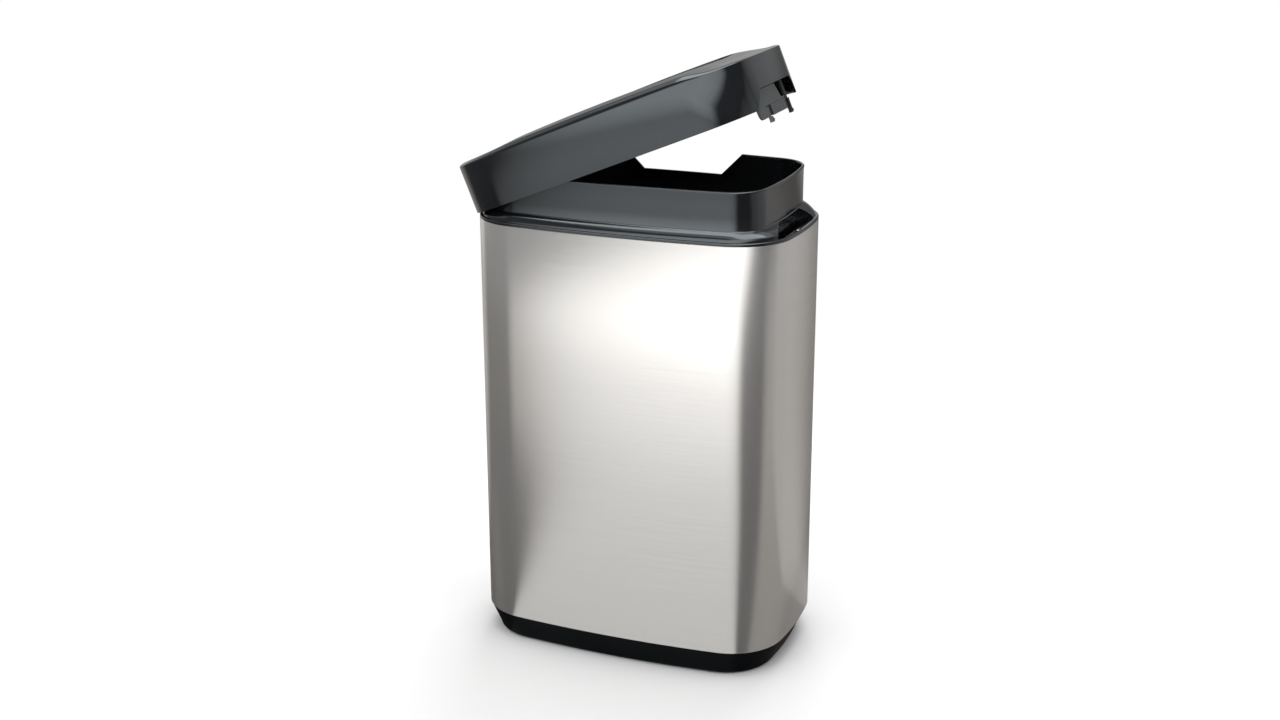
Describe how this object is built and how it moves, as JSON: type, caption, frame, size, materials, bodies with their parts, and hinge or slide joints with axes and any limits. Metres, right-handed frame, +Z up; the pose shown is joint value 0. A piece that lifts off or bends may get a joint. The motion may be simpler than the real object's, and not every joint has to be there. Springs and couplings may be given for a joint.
{
  "type": "waste bin",
  "caption": "Free-standing washroom waste bin: brushed steel sleeve on a black base, with a hinged black cover standing open, a sliding latch and a sprung push flap.",
  "frame": {"origin": "middle of the base on the floor, under the centre of the steel sleeve's outline", "axes": "+X from the cover's hinge towards its latch, -Y is the front face, +Z up"},
  "size_m": [0.4139, 0.2393, 0.7326],
  "materials": {
    "base_plastic": "fine matt grain",
    "brushed_steel": "fine brushing along the wrap",
    "collar_plastic": "gloss",
    "cover_plastic": "high gloss",
    "flap_plastic": "high gloss",
    "inner_plastic": "satin",
    "latch_plastic": "satin gloss",
    "zinc_steel": "zinc plated",
    "spring_steel": "bright drawn wire",
    "foot_rubber": "matt"
  },
  "bodies": {
    "bin_body": {"base_tub": "base_plastic", "steel_sleeve": "brushed_steel", "collar": "collar_plastic", "strike_plate": "zinc_steel", "hinge_pin_front": "zinc_steel", "hinge_pin_rear": "zinc_steel", "foot_front_left": "foot_rubber", "foot_front_right": "foot_rubber", "foot_rear_left": "foot_rubber", "foot_rear_right": "foot_rubber", "strike_screw_front": "zinc_steel", "strike_screw_rear": "zinc_steel", "collar_screw_left": "zinc_steel", "collar_screw_right": "zinc_steel", "base_screw_left": "zinc_steel", "base_screw_right": "zinc_steel"},
    "cover": {"cover_shell": "cover_plastic", "hinge_arm_front": "inner_plastic", "hinge_arm_rear": "inner_plastic", "latch_guide": "inner_plastic", "latch_spring": "spring_steel", "flap_bracket": "inner_plastic", "flap_pin": "zinc_steel", "hinge_arm_screw_front_low": "zinc_steel", "hinge_arm_screw_front_high": "zinc_steel", "hinge_arm_screw_rear_low": "zinc_steel", "hinge_arm_screw_rear_high": "zinc_steel", "latch_guide_screw_front": "zinc_steel", "latch_guide_screw_rear": "zinc_steel", "latch_screw_front": "zinc_steel", "latch_screw_rear": "zinc_steel", "flap_bracket_screw_left": "zinc_steel", "flap_bracket_screw_right": "zinc_steel"},
    "latch": {"latch_slider": "latch_plastic"},
    "flap": {"flap": "flap_plastic", "flap_spring_left": "spring_steel", "flap_spring_right": "spring_steel"}
  },
  "joints": [
    {"name": "cover_hinge", "type": "hinge", "parent": "bin_body", "child": "cover", "pos_m": [-0.1835, 0, 0.5243], "axis": [0, -1, 0], "range_deg": [-22.4, 57.6]},
    {"name": "latch_slide", "type": "slide", "parent": "cover", "child": "latch", "axis": [0, -1, 0], "range_m": [0, 0.004], "stiffness_N_per_m": 300, "springref_m": -0.008, "deforming": ["latch_spring"]},
    {"name": "flap_hinge", "type": "hinge", "parent": "cover", "child": "flap", "pos_m": [-0.03827, 0.082, 0.65349], "axis": [0.9245, 0, 0.3811], "range_deg": [0, 75], "stiffness_Nm_per_rad": 0.15, "springref_deg": -114.59}
  ]
}
